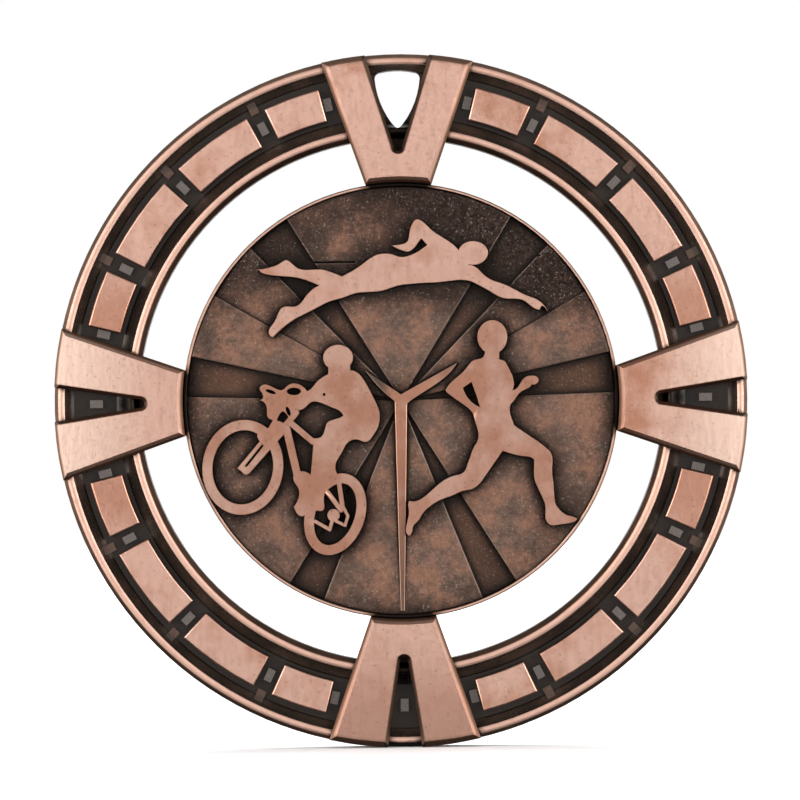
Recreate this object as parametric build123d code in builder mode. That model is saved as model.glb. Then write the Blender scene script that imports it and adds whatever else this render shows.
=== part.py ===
from build123d import *
import math
import os

# A sports finisher medal, standing upright and facing -Y, +X to the right, +Z up.
# The origin is the middle of the flat back. A height is a distance in front of the back plane.

# ---- driving dimensions, mm ----

# the three rings from the outside in
OUTER_R = 35.0            # radius over the rim
RING_W = 8.5              # width of the ring
WINDOW_W = 4.5            # width of the open crescents between the ring and the cup

# ring frame
RAIL_TOP = 3.0            # height of both rails
FLOOR_TOP = 1.5           # height of the channel floor between the rails
OUTER_RAIL_W = 1.0        # rim edge to the inside of the outer rail's crest
INNER_RAIL_W = 1.1        # ring's inner edge to the outside of the inner rail's crest
OUTER_WALL_RUN = 0.9      # how far the hollow channel walls run
INNER_WALL_RUN = 1.15
WALL_HOLLOW = 0.22        # how deep each wall is hollowed, square to its slope
RAIL_EDGE = 0.4           # width of the sloped outer edge
RAIL_EDGE_DROP = 0.6
CREST_RISE = 0.15         # how far a rail's crest is rounded
BACK_EDGE = 0.2           # small chamfer round the back

# centre cup, which holds the disc
CUP_FLOOR = 1.0
CUP_RIM_W = 0.35
CUP_RIM_TOP = 2.3
CUP_RIM_EDGE = 0.1

# webs that carry the cup from the ring, one under each strut
WEB_TOP = 1.9
WEB_INSET = 0.4           # how far a web's sides stay inside the strut's
WEB_FILLET = 0.7

# ribbon eyelet, a shield-shaped hole through the top of the ring
EYELET_WALL = 0.6         # from its top edge to the outer rail
EYELET_REACH = 0.25       # how far its tip cuts into the inner rail
EYELET_SAG = 0.35         # rise of its curved top edge
EYELET_HALF_W = 2.3
EYELET_WAIST = 1.75       # half width halfway down
EYELET_CORNER = 0.6
EYELET_TIP = 0.35

# V struts
STRUT_TOP = 4.0
STRUT_HALF_RIM = 7.95     # half width at the rim
STRUT_HALF_CUP = 3.4      # half width at the cup
STRUT_EDGE = 0.55         # chamfer round the face
NOTCH_EDGE = 0.35         # chamfer round the notch
NOTCH_TIP_HALF = 0.4
NOTCH_REACH = 0.2         # how far the notch runs in past the ring, side and bottom struts
NOTCH_RIM_HALF = 1.75     # its half width at the rim
EYELET_NOTCH_REACH = 0.9
EYELET_NOTCH_LIP = 1.0    # from the eyelet's side to the notch's, at the rim
STRUT_GAP = 0.05          # from the strut's foot to the cup

# rim tiles
TILE_TOP = 3.2
TILE_IN_GAP = 0.35        # from the channel floor's inner edge
TILE_OUT_GAP = 0.65       # from its outer edge
TILE_STRUT_GAP = 1.13     # from the side of a strut
TILE_GAP = 3.47           # angle between neighbours
TILE_LONG = 15.3          # angle of the two middle tiles, the end ones fill what is left
TILE_EDGE = 0.12
PAD_W = 0.8               # pads that link the tiles along the channel
PAD_L = 1.3
PAD_TOP = 2.3
END_PAD_GAP = 0.083       # from an end tile to the pad beside the strut
RIB_W = 0.9               # low ribs from each gap to the outer rail
RIB_TOP = 1.95

# centre disc, heights measured from its underside
DISC_GAP = 0.05           # between the disc and the cup's rim
RAY_T = 0.45              # the sunken rays
CENTRE_T = 0.95           # the facets at the middle
INLAY_T = 0.2             # metal left under the pockets that hold the figures
GROOVE_T = 0.5            # metal left under the water lines
GROOVE_W = 0.2
# Water lines beside the swimmer: left end, right end, height above the middle.
WATER_LINES = [(-8.7, -4.4, 14.06), (9.6, 14.3, 14.5)]
# Facets: first and last angle from the top, clockwise, and the height at the rim at each.
FACETS = [
    (0.0, 31.5, 0.85, 1.15),
    (44.0, 60.0, 1.1, 0.75),
    (60.0, 77.4, 1.05, 1.2),
    (88.4, 148.0, 0.95, 1.15),
    (158.2, 180.0, 0.9, 1.15),
]

# raised emblem, heights measured from the disc's underside
EMBLEM_R = 21.6           # radius of the disc that the outlines below are drawn for
FIGURE_T = 2.0
DIVIDER_T = 1.65          # where its three legs meet
DIVIDER_HUB_R = 1.2       # how far the legs run level before they slope down
LEG_HALF_W = 1.2          # half width of the slope on each leg
STEM_L = 21.3
RIGHT_ARM_L = 6.9
LEFT_ARM_L = 4.9
STEM_END_T = 1.25
RIGHT_ARM_END_T = 1.3
LEFT_ARM_END_T = 1.1

# the bicycle's tubes
DOWN_TUBE_W = 0.75
TUBE_W = 0.6
STAY_W = 0.45
CRANK_W = 0.35
CHAIN_W = 0.3
FORK_SLOT_W = 0.24

OVERRUN = 2.0             # how far a cutting shape runs past what it cuts

# ---- helpers ----


def polar(radius, angle):
    """The point at this radius and this angle clockwise from the top."""
    turn = math.radians(angle)
    return (radius * math.sin(turn), radius * math.cos(turn))


def smooth_outline(*runs):
    """A closed outline: each run is a smooth curve, and runs meet at corners."""
    with BuildSketch() as shape:
        with BuildLine():
            for run in runs:
                if len(run) == 2:
                    Line(*run)
                else:
                    Spline(*run)
        make_face()
    return shape.sketch


def bar(start, end, width):
    """A straight round-ended bar."""
    start, end = Vector(*start), Vector(*end)
    along = end - start
    with BuildSketch() as shape:
        with Locations((start + end) * 0.5):
            turn = math.degrees(math.atan2(along.Y, along.X))
            SlotCenterToCenter(along.length, width, rotation=turn)
    return shape.sketch


def sector(inner, outer, first, last):
    """A piece of a flat ring between two angles clockwise from the top."""
    with BuildSketch() as shape:
        with BuildLine():
            start, span = 90 - last, last - first
            low = CenterArc((0, 0), inner, start, span)
            high = CenterArc((0, 0), outer, start, span)
            Line(low @ 0, high @ 0)
            Line(low @ 1, high @ 1)
        make_face()
    return shape.sketch


# ---- places that follow from the dimensions ----

INNER_R = OUTER_R - RING_W
CUP_R = INNER_R - WINDOW_W
outer_crest = OUTER_R - OUTER_RAIL_W
inner_crest = INNER_R + INNER_RAIL_W
outer_floor = outer_crest - OUTER_WALL_RUN
inner_floor = inner_crest + INNER_WALL_RUN
crest_side = RAIL_TOP - CREST_RISE
disc_r = CUP_R - CUP_RIM_W - DISC_GAP
emblem_scale = disc_r / EMBLEM_R
tile_in = inner_floor + TILE_IN_GAP
tile_out = outer_floor - TILE_OUT_GAP
strut_lean = math.atan2(STRUT_HALF_RIM - STRUT_HALF_CUP, OUTER_R - CUP_R)


def strut_half(radius):
    """Half width of a strut at this distance from the centre."""
    return STRUT_HALF_CUP + (radius - CUP_R) * math.tan(strut_lean)


# the end tiles stop short of the strut's side, and the rest of the quarter is shared out
side_offset = strut_half(0) * math.cos(strut_lean)
tile_first = math.degrees(strut_lean + math.asin((side_offset + TILE_STRUT_GAP) / tile_out))
tile_short = 45 - tile_first - TILE_LONG - 1.5 * TILE_GAP
tile_spans = []
span_start = tile_first
for length in (tile_short, TILE_LONG, TILE_LONG, tile_short):
    tile_spans.append((span_start, span_start + length))
    span_start += length + TILE_GAP
gap_angles = [(before[1] + after[0]) / 2 for before, after in zip(tile_spans, tile_spans[1:])]
pad_r = (tile_in + tile_out) / 2
end_pad_lead = math.degrees((PAD_W / 2 + END_PAD_GAP) / pad_r)
pad_angles = [tile_first - end_pad_lead, *gap_angles, 90 - tile_first + end_pad_lead]

# ---- outlines of the emblem, seen from the front ----

swimmer_body = smooth_outline(
    [(-14.2, 13.4), (-13.0, 13.6), (-12.1, 13.95), (-11.35, 14.3), (-10.9, 14.0), (-10.2, 13.45),
     (-9.0, 13.3), (-7.8, 13.3), (-6.8, 13.0), (-5.8, 12.6)],
    [(-5.8, 12.6), (-5.0, 13.0), (-3.8, 13.75), (-2.2, 14.75), (-1.4, 14.85), (-0.7, 14.75),
     (0.0, 14.5), (0.8, 14.55), (1.6, 14.85), (2.85, 15.65)],
    [(2.85, 15.65), (2.25, 16.35)],
    [(2.25, 16.35), (1.8, 15.75), (1.3, 15.2), (0.9, 15.02), (0.3, 15.15), (-0.3, 15.4), (-0.7, 15.65)],
    [(-0.7, 15.65), (0.3, 15.78), (0.85, 16.05), (1.05, 16.7), (1.4, 17.9), (1.76, 18.25),
     (2.3, 18.1), (3.1, 17.35), (4.25, 16.5), (5.3, 15.8), (6.0, 15.1)],
    [(6.0, 15.1), (7.0, 13.6)],
    [(7.0, 13.6), (7.8, 13.3), (8.4, 12.7), (9.2, 12.1), (10.0, 11.8), (10.8, 11.5),
     (12.8, 10.45), (13.8, 10.05), (14.4, 9.6), (14.95, 8.75)],
    [(14.95, 8.75), (14.3, 9.35), (14.1, 9.0)],
    [(14.1, 9.0), (13.5, 9.2), (13.0, 9.6), (12.4, 10.0), (11.0, 10.15), (10.2, 10.3), (9.0, 11.0),
     (8.0, 11.55), (7.2, 11.95), (6.4, 12.1), (4.0, 11.9), (2.4, 11.85), (1.0, 11.75),
     (-0.2, 11.6), (-1.6, 11.15), (-3.0, 11.0), (-4.6, 10.85), (-5.6, 10.5), (-7.2, 10.05),
     (-8.6, 9.35), (-10.8, 8.25), (-12.0, 7.35), (-12.85, 6.55)],
    [(-12.85, 6.55), (-13.2, 6.8), (-13.2, 7.3), (-12.8, 7.9), (-12.4, 8.6), (-12.0, 9.4),
     (-11.6, 9.62), (-10.7, 9.6), (-10.1, 9.85), (-9.5, 10.6), (-9.0, 11.15), (-8.1, 11.7)],
    [(-8.1, 11.7), (-9.0, 12.1), (-10.2, 12.5), (-11.8, 12.7), (-13.2, 12.85), (-13.85, 13.05),
     (-14.2, 13.4)],
)

runner_body = smooth_outline(
    [(8.5, 4.6), (8.3, 4.25), (7.35, 3.95), (6.8, 3.4), (6.25, 2.75), (5.4, 2.05), (4.7, 1.3),
     (4.55, 0.95), (4.85, 0.6), (5.55, 0.05), (6.95, -1.0), (7.25, -1.4), (7.45, -2.1),
     (7.8, -3.65), (7.7, -4.15), (7.35, -4.75), (6.95, -5.7), (6.65, -6.55), (6.2, -7.35),
     (5.3, -7.65), (4.6, -7.9), (3.75, -8.45), (2.1, -9.85), (1.65, -10.1), (0.7, -10.15)],
    [(0.7, -10.15), (0.62, -10.5), (0.68, -11.15), (0.6, -11.85), (0.42, -12.65), (0.42, -13.4),
     (0.65, -13.65), (0.88, -13.4), (1.1, -12.65), (1.55, -12.2), (2.0, -11.5), (2.8, -10.7),
     (3.9, -10.05), (5.3, -9.55), (6.1, -9.2), (6.95, -9.05), (7.65, -8.65), (8.35, -7.8),
     (9.05, -6.85), (10.2, -5.2)],
    [(10.2, -5.2), (11.1, -5.5), (12.2, -5.75), (13.05, -5.9), (13.4, -6.2)],
    [(13.4, -6.2), (13.35, -7.4), (13.4, -8.1), (13.75, -9.05), (14.25, -10.15), (14.45, -10.8),
     (14.45, -11.95), (14.6, -12.45), (14.95, -12.75), (15.55, -12.75), (16.65, -12.6),
     (17.3, -12.45), (17.6, -12.2), (17.3, -11.97), (16.65, -11.8), (16.05, -11.4),
     (15.5, -10.7), (15.35, -10.05), (15.3, -8.9), (15.15, -7.1), (15.2, -6.0), (15.0, -5.35)],
    [(15.0, -5.35), (14.3, -4.7), (13.35, -4.0), (11.4, -2.65)],
    [(11.4, -2.65), (11.1, -1.85), (10.95, -1.0), (11.05, -0.5)],
    [(11.05, -0.5), (11.4, -0.15), (11.95, 0.6), (12.5, 0.95), (13.0, 1.2), (13.2, 1.5)],
    [(13.2, 1.5), (13.7, 1.55), (13.9, 1.9), (13.7, 2.25), (13.3, 2.35), (12.8, 2.3),
     (12.35, 2.0), (12.0, 1.45), (11.65, 1.05), (11.25, 0.9)],
    [(11.25, 0.9), (11.35, 2.05), (11.1, 2.75), (10.75, 3.45), (10.5, 3.85), (9.95, 4.05),
     (9.95, 4.6)],
    [(9.95, 4.6), (8.5, 4.6)],
)
runner_arm_gap = smooth_outline(
    [(7.15, 1.8), (6.25, 1.2)],
    [(6.25, 1.2), (6.8, 0.1), (8.0, -0.8)],
    [(8.0, -0.8), (7.55, 0.65), (7.15, 1.8)],
)

rider = smooth_outline(
    [(-7.3, 4.2), (-7.3, 2.75)],
    [(-7.3, 2.75), (-7.95, 2.4), (-8.5, 1.95), (-8.9, 1.45), (-9.5, 1.05)],
    [(-9.5, 1.05), (-10.0, 1.6), (-10.7, 1.85), (-11.4, 1.65), (-12.0, 1.2), (-12.65, 1.35),
     (-13.35, 1.7), (-13.9, 1.75), (-14.25, 1.4), (-14.0, 0.9), (-13.9, 0.5), (-14.3, 0.2)],
    [(-14.3, 0.2), (-13.75, -0.1), (-13.55, -0.6), (-13.4, -1.6), (-13.0, -1.8), (-12.6, -1.9)],
    [(-12.6, -1.9), (-11.6, -1.2), (-11.3, -1.6), (-10.6, -0.8)],
    [(-10.6, -0.8), (-9.6, -0.5), (-9.05, -0.05), (-8.1, -0.12), (-7.0, -0.6), (-6.3, -0.9),
     (-5.85, -1.45)],
    [(-5.85, -1.45), (-7.0, -1.9), (-7.45, -2.15), (-7.65, -2.6), (-8.85, -3.7)],
    [(-8.85, -3.7), (-9.0, -5.5), (-9.2, -7.4)],
    [(-9.2, -7.4), (-10.3, -7.05), (-10.95, -7.5)],
    [(-10.95, -7.5), (-10.8, -8.2), (-10.45, -8.75), (-10.45, -9.7), (-10.95, -10.6)],
    [(-10.95, -10.6), (-9.9, -11.5), (-8.9, -11.0), (-8.15, -11.05), (-7.9, -10.3)],
    [(-7.9, -10.3), (-7.8, -9.2), (-7.1, -8.1), (-6.4, -7.6)],
    [(-6.4, -7.6), (-6.6, -6.1), (-6.0, -5.1), (-5.45, -4.2), (-4.9, -3.9), (-4.35, -3.9),
     (-3.85, -4.1), (-3.35, -4.05), (-2.95, -3.6), (-2.45, -2.85), (-2.2, -2.0), (-2.2, -1.2),
     (-2.4, -0.5), (-2.8, 0.35), (-3.85, 2.3), (-4.35, 2.85), (-5.1, 3.1)],
    [(-5.1, 3.1), (-5.1, 4.2)],
    [(-5.1, 4.2), (-7.3, 4.2)],
)
fork = smooth_outline(
    [(-13.4, -2.6), (-12.9, -1.75)],
    [(-12.9, -1.75), (-11.9, -2.1)],
    [(-11.9, -2.1), (-11.9, -3.3)],
    [(-11.9, -3.3), (-13.2, -4.7)],
    [(-13.2, -4.7), (-15.3, -7.05)],
    [(-15.3, -7.05), (-15.75, -7.3), (-16.15, -7.0)],
    [(-16.15, -7.0), (-16.6, -6.65)],
    [(-16.6, -6.65), (-14.3, -3.95)],
    [(-14.3, -3.95), (-14.55, -3.4), (-13.4, -2.6)],
)

with BuildSketch() as swimmer_plan:
    add(swimmer_body)
    with Locations((7.45, 14.8)):
        Ellipse(1.5, 1.2)
    scale(by=emblem_scale)

with BuildSketch() as runner_plan:
    add(runner_body)
    add(runner_arm_gap, mode=Mode.SUBTRACT)
    with Locations((9.3, 6.3)):
        Ellipse(1.5, 1.7)
    with Locations((9.25, 4.6)):
        Rectangle(1.4, 1.2)
    scale(by=emblem_scale)

with BuildSketch() as cyclist_plan:
    with Locations((-16.05, -6.55)):
        Ellipse(4.07, 4.8, rotation=-8)
        Ellipse(3.06, 3.76, rotation=-8, mode=Mode.SUBTRACT)
    with Locations((-6.78, -11.4)):
        Ellipse(2.98, 4.24, rotation=-20)
        Ellipse(1.98, 3.24, rotation=-20, mode=Mode.SUBTRACT)
    add(rider)
    add(fork)
    with Locations((-6.3, 4.4)):
        Ellipse(1.5, 1.3)
    # down tube, top tube, head tube and stem
    add(bar((-11.6, -2.7), (-10.55, -7.4), DOWN_TUBE_W))
    add(bar((-11.2, -2.1), (-8.95, -4.05), TUBE_W))
    add(bar((-12.3, -3.1), (-10.6, -1.1), TUBE_W))
    # chain stays, rear mech and crank
    add(bar((-6.4, -7.9), (-6.05, -10.6), STAY_W))
    add(bar((-7.5, -9.2), (-6.2, -11.0), STAY_W))
    add(bar((-6.05, -10.5), (-5.5, -11.6), CHAIN_W))
    add(bar((-5.5, -11.6), (-5.8, -12.55), CHAIN_W))
    add(bar((-5.8, -12.55), (-6.7, -12.1), CHAIN_W))
    add(bar((-8.8, -12.1), (-7.35, -12.95), CRANK_W))
    add(bar((-7.35, -12.95), (-7.0, -11.7), CRANK_W))
    with Locations((-6.95, -11.5)):
        Circle(0.62)
    # what shows between the bars, the hands and the fork legs
    with Locations((-10.8, 1.05)):
        Ellipse(0.72, 0.38, mode=Mode.SUBTRACT)
    with Locations((-13.15, 1.05)):
        Ellipse(0.55, 0.18, rotation=-20, mode=Mode.SUBTRACT)
    with Locations((-11.4, -0.95)):
        Ellipse(0.2, 0.5, rotation=20, mode=Mode.SUBTRACT)
    add(bar((-14.05, -4.4), (-15.7, -6.4), FORK_SLOT_W), mode=Mode.SUBTRACT)
    with Locations((-7.75, 0.7)):
        Circle(0.15, mode=Mode.SUBTRACT)
    scale(by=emblem_scale)

with BuildSketch() as divider_plan:
    add(smooth_outline(
        [(-0.65, -0.1), (-0.3, -21.3)],
        [(-0.3, -21.3), (0.15, -21.3)],
        [(0.15, -21.3), (0.3, -12.0)],
        [(0.3, -12.0), (0.62, -0.35)],
        [(0.62, -0.35), (3.6, 1.6), (4.75, 2.5), (5.75, 3.8)],
        [(5.75, 3.8), (0.0, 0.65)],
        [(0.0, 0.65), (-3.7, 3.2)],
        [(-3.7, 3.2), (-2.6, 1.75), (-0.65, -0.1)],
    ))
    scale(by=emblem_scale)

# ---- ring frame: ring, webs and centre cup in one casting ----

with BuildPart() as frame:
    # the ring's section, radius along X and height along -Y, turned about Y
    with BuildSketch(Plane.XY) as section:
        with BuildLine():
            inner_wall = Vector(inner_crest, -crest_side), Vector(inner_floor, -FLOOR_TOP)
            outer_wall = Vector(outer_floor, -FLOOR_TOP), Vector(outer_crest, -crest_side)
            Line(inner_wall[1], outer_wall[0])
            for top, foot in (inner_wall, outer_wall[::-1]):
                along = (foot - top).normalized()
                into = Vector(-abs(along.Y) if foot.X > top.X else abs(along.Y), abs(along.X))
                ThreePointArc(top, (top + foot) * 0.5 + into * WALL_HOLLOW, foot)
            ThreePointArc(
                (outer_crest, -crest_side),
                ((outer_crest + OUTER_R - RAIL_EDGE) / 2, -RAIL_TOP),
                (OUTER_R - RAIL_EDGE, -crest_side),
            )
            Polyline(
                (OUTER_R - RAIL_EDGE, -crest_side),
                (OUTER_R, -crest_side + RAIL_EDGE_DROP),
                (OUTER_R, -BACK_EDGE),
                (OUTER_R - BACK_EDGE, 0),
                (INNER_R + BACK_EDGE, 0),
                (INNER_R, -BACK_EDGE),
                (INNER_R, -crest_side + RAIL_EDGE_DROP),
                (INNER_R + RAIL_EDGE, -crest_side),
            )
            ThreePointArc(
                (INNER_R + RAIL_EDGE, -crest_side),
                ((INNER_R + RAIL_EDGE + inner_crest) / 2, -RAIL_TOP),
                (inner_crest, -crest_side),
            )
        make_face()
    revolve(axis=Axis.Y)

    # webs and the cup's floor, on an edge that ends inside the inner rail
    web_out = INNER_R + RAIL_EDGE
    web_in = CUP_R - CUP_RIM_W
    web_mid = (CUP_R + INNER_R) / 2
    with BuildSketch(Plane.XZ) as carrier:
        Circle(web_out)
        Circle(INNER_R, mode=Mode.SUBTRACT)
        for quarter in range(4):
            with BuildSketch(mode=Mode.PRIVATE) as web:
                with BuildLine():
                    half_in = strut_half(web_in)
                    half_mid = strut_half(web_mid) - WEB_INSET
                    half_out = strut_half(inner_crest) - WEB_INSET
                    right = ThreePointArc((half_in, web_in), (half_mid, web_mid), (half_out, inner_crest))
                    left = ThreePointArc((-half_in, web_in), (-half_mid, web_mid), (-half_out, inner_crest))
                    Line(right @ 0, left @ 0)
                    Line(right @ 1, left @ 1)
                make_face()
            add(web.sketch.rotate(Axis.Z, 90 * quarter))
        Circle(web_out, mode=Mode.INTERSECT)
        Circle(CUP_R)
        corners = [v for v in vertices() if abs(math.hypot(v.X, v.Y) - INNER_R) < 0.01]
        fillet(corners, radius=WEB_FILLET)
    extrude(amount=WEB_TOP)
    with BuildSketch(Plane.XZ.offset(CUP_FLOOR)):
        Circle(CUP_R - CUP_RIM_W / 2)
    extrude(amount=WEB_TOP, mode=Mode.SUBTRACT)
    # the cup's thin rim, rounded on top
    with BuildSketch(Plane.XY):
        with Locations((CUP_R - CUP_RIM_W, 0)):
            Rectangle(CUP_RIM_W, CUP_RIM_TOP, align=(Align.MIN, Align.MAX))
        fillet(vertices().sort_by(Axis.Y)[:2], radius=CUP_RIM_EDGE)
    revolve(axis=Axis.Y)

    # pads that link the tiles, also seen in the notches of the struts
    with BuildSketch(Plane.XZ.offset(FLOOR_TOP)):
        for quarter in range(4):
            for angle in pad_angles + [0.0]:
                turn = angle + 90 * quarter
                if turn > 0:
                    with Locations(Location((*polar(pad_r, turn), 0), (0, 0, -turn))):
                        Rectangle(PAD_W, PAD_L)
    extrude(amount=PAD_TOP - FLOOR_TOP)
    # low ribs that run from each gap out to the rail
    rib_length = outer_crest - tile_out
    with BuildSketch(Plane.XZ.offset(FLOOR_TOP)):
        for quarter in range(4):
            for angle in gap_angles:
                turn = angle + 90 * quarter
                with Locations(Location((*polar(tile_out + rib_length / 2, turn), 0), (0, 0, -turn))):
                    Rectangle(RIB_W, rib_length)
    extrude(amount=RIB_TOP - FLOOR_TOP)

    # ribbon eyelet
    with BuildSketch(Plane.XZ) as eyelet:
        with BuildLine():
            top_z = outer_crest - EYELET_WALL
            corner_z = top_z - EYELET_SAG
            tip_z = inner_crest - EYELET_REACH
            waist_z = (corner_z + tip_z) / 2
            side = ThreePointArc((EYELET_HALF_W, corner_z), (EYELET_WAIST, waist_z), (0, tip_z))
            other = ThreePointArc((-EYELET_HALF_W, corner_z), (-EYELET_WAIST, waist_z), (0, tip_z))
            ThreePointArc(side @ 0, (0, top_z), other @ 0)
        make_face()
        fillet(vertices().sort_by(Axis.Y)[1:], radius=EYELET_CORNER)
        fillet(vertices().sort_by(Axis.Y)[0], radius=EYELET_TIP)
    extrude(amount=RAIL_TOP, mode=Mode.SUBTRACT)
frame.part.label = "ring_frame"

# ---- V struts ----

strut_foot_r = CUP_R + STRUT_GAP


def strut_outline(tip_r, rim_half):
    """A tapering bar from the cup to the rim, with a V notch open at the rim."""
    near, far = CUP_R - OVERRUN, OUTER_R + OVERRUN
    notch_far = rim_half + (rim_half - NOTCH_TIP_HALF) / (OUTER_R - tip_r) * OVERRUN
    with BuildSketch() as shape:
        with BuildLine():
            Polyline(
                (strut_half(near), near), (strut_half(far), far),
                (-strut_half(far), far), (-strut_half(near), near), close=True)
        make_face()
        with BuildSketch(mode=Mode.SUBTRACT):
            with BuildLine():
                Polyline((NOTCH_TIP_HALF, tip_r), (notch_far, far), (-notch_far, far), (-NOTCH_TIP_HALF, tip_r))
                ThreePointArc((NOTCH_TIP_HALF, tip_r), (0, tip_r - NOTCH_TIP_HALF), (-NOTCH_TIP_HALF, tip_r))
            make_face()
        Circle(OUTER_R, mode=Mode.INTERSECT)
        Circle(strut_foot_r, mode=Mode.SUBTRACT)
    return shape.sketch


def in_notch(edge, tip_r):
    """Whether an edge of a strut's face belongs to its notch."""
    middle = edge.center()
    return abs(middle.X) < STRUT_HALF_CUP and middle.Z > tip_r - 2 * NOTCH_TIP_HALF


side_notch = (INNER_R - NOTCH_REACH, NOTCH_RIM_HALF)
eyelet_notch = (INNER_R - EYELET_NOTCH_REACH, EYELET_HALF_W + EYELET_NOTCH_LIP)
strut_kinds = {
    "strut_top": (0, eyelet_notch),
    "strut_right": (90, side_notch),
    "strut_bottom": (180, side_notch),
    "strut_left": (270, side_notch),
}
struts = []
for strut_name, (turn, notch) in strut_kinds.items():
    plan = strut_outline(*notch)
    with BuildPart() as blank:
        with BuildSketch(Plane.XZ.offset(WEB_TOP)):
            add(plan)
        extrude(amount=STRUT_TOP - WEB_TOP)
        face_edges = faces().sort_by(Axis.Y)[0].edges()
        outer_edges = [e for e in face_edges if not in_notch(e, notch[0])]
        chamfer(outer_edges, length=STRUT_EDGE)
        face_edges = faces().sort_by(Axis.Y)[0].edges()
        chamfer([e for e in face_edges if in_notch(e, notch[0])], length=NOTCH_EDGE)
        # the foot that fills the channel below the rails
        with BuildSketch(Plane.XZ.offset(FLOOR_TOP)):
            add(plan)
            Circle(outer_crest, mode=Mode.INTERSECT)
            Circle(inner_crest, mode=Mode.SUBTRACT)
        extrude(amount=WEB_TOP - FLOOR_TOP)
    with BuildPart() as strut:
        add(blank.part.rotate(Axis.Y, turn))
        # coped to the ring's section, so that it seats on the rails, the floor and the web
        add(frame.part, mode=Mode.SUBTRACT)
    strut.part.label = strut_name
    struts.append(strut.part)

# ---- rim tiles ----

tiles = []
for quarter in range(4):
    for first, last in tile_spans:
        with BuildPart() as tile:
            with BuildSketch(Plane.XZ.offset(FLOOR_TOP)):
                add(sector(tile_in, tile_out, 90 * quarter + first, 90 * quarter + last))
            extrude(amount=TILE_TOP - FLOOR_TOP)
            chamfer(faces().sort_by(Axis.Y)[0].edges(), length=TILE_EDGE)
        tile.part.label = f"rim_tile_{len(tiles) + 1:02d}"
        tiles.append(tile.part)

# ---- centre disc ----

ray_top = CUP_FLOOR + RAY_T
centre_top = CUP_FLOOR + CENTRE_T
inlay_floor = CUP_FLOOR + INLAY_T


def front_point(radius, angle, height):
    """A point in space, this far in front of the back plane."""
    x, z = polar(radius, angle)
    return Vector(x, -height, z)


with BuildPart() as disc:
    with BuildSketch(Plane.XZ.offset(CUP_FLOOR)):
        Circle(disc_r)
    extrude(amount=RAY_T)
    for first, last, first_t, last_t in FACETS:
        for side in (1, -1):
            centre = front_point(0, 0, centre_top)
            start = front_point(disc_r, side * first, CUP_FLOOR + first_t)
            end = front_point(disc_r, side * last, CUP_FLOOR + last_t)
            slope = Plane(centre, x_dir=start - centre, z_dir=(start - centre).cross(end - centre))
            with BuildPart(mode=Mode.PRIVATE) as wedge:
                with BuildSketch(Plane.XZ.offset(ray_top)):
                    low, high = sorted((side * first, side * last))
                    add(sector(DISC_GAP, disc_r, low, high))
                extrude(amount=OVERRUN)
                split(bisect_by=slope, keep=Keep.BOTTOM if slope.z_dir.Y < 0 else Keep.TOP)
            add(wedge.part)
    # fine lines of the water, level grooves beside the swimmer
    with BuildSketch(Plane.XZ.offset(CUP_FLOOR + GROOVE_T)):
        for left, right, height in WATER_LINES:
            with Locations(((left + right) / 2, height)):
                Rectangle(right - left, GROOVE_W)
        scale(by=emblem_scale)
    extrude(amount=OVERRUN, mode=Mode.SUBTRACT)
    # pockets for the inlaid figures and divider
    with BuildSketch(Plane.XZ.offset(inlay_floor)):
        add(swimmer_plan.sketch)
        add(runner_plan.sketch)
        add(cyclist_plan.sketch)
        add(divider_plan.sketch)
    extrude(amount=OVERRUN, mode=Mode.SUBTRACT)
disc.part.label = "centre_disc"

# ---- raised emblem ----

with BuildPart() as swimmer:
    with BuildSketch(Plane.XZ.offset(inlay_floor)):
        add(swimmer_plan.sketch)
    extrude(amount=FIGURE_T - INLAY_T)
swimmer.part.label = "swimmer"

with BuildPart() as runner:
    with BuildSketch(Plane.XZ.offset(inlay_floor)):
        add(runner_plan.sketch)
    extrude(amount=FIGURE_T - INLAY_T)
runner.part.label = "runner"

with BuildPart() as cyclist:
    with BuildSketch(Plane.XZ.offset(inlay_floor)):
        add(cyclist_plan.sketch)
    extrude(amount=FIGURE_T - INLAY_T)
cyclist.part.label = "cyclist"

# The divider's legs, each by its angle clockwise from the top, its length and its height at the end.
divider_legs = [
    (180.0, STEM_L * emblem_scale, STEM_END_T),
    (56.5, RIGHT_ARM_L * emblem_scale, RIGHT_ARM_END_T),
    (-49.0, LEFT_ARM_L * emblem_scale, LEFT_ARM_END_T),
]
with BuildPart() as divider:
    with BuildSketch(Plane.XZ.offset(inlay_floor)):
        add(divider_plan.sketch)
    extrude(amount=DIVIDER_T - INLAY_T)
    for turn, length, end_t in divider_legs:
        with BuildPart(mode=Mode.PRIVATE) as ramp:
            with BuildSketch(Plane.YZ):
                with BuildLine():
                    Polyline(
                        (-CUP_FLOOR - DIVIDER_T, DIVIDER_HUB_R),
                        (-CUP_FLOOR - end_t, length),
                        (-CUP_FLOOR - DIVIDER_T - OVERRUN, length),
                        (-CUP_FLOOR - DIVIDER_T - OVERRUN, DIVIDER_HUB_R), close=True)
                make_face()
            extrude(amount=LEG_HALF_W * emblem_scale, both=True)
        add(ramp.part.rotate(Axis.Y, turn), mode=Mode.SUBTRACT)
divider.part.label = "y_divider"

# ---- write one file for each piece ----

os.makedirs("parts", exist_ok=True)
export_step(frame.part, "parts/ring_frame.step")
export_step(disc.part, "parts/centre_disc.step")
export_step(swimmer.part, "parts/swimmer.step")
export_step(runner.part, "parts/runner.step")
export_step(cyclist.part, "parts/cyclist.step")
export_step(divider.part, "parts/y_divider.step")
for piece in struts + tiles:
    export_step(piece, f"parts/{piece.label}.step")
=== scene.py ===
# %% [markdown]
# # An antique copper finisher medal
#
# The medal comes to this script as a fixed frame: 26 metal pieces at their real size and place.
# The steps below give it its looks. They round the sharp edges that a drawing has and a casting
# doesn't, paint the copper plate with its dark patina and with painted light and shade, and set up
# a plain studio.
# The medal stands upright and faces -Y, so a point's height above the back is minus its Y.

# %% Load the frame
import math

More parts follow.
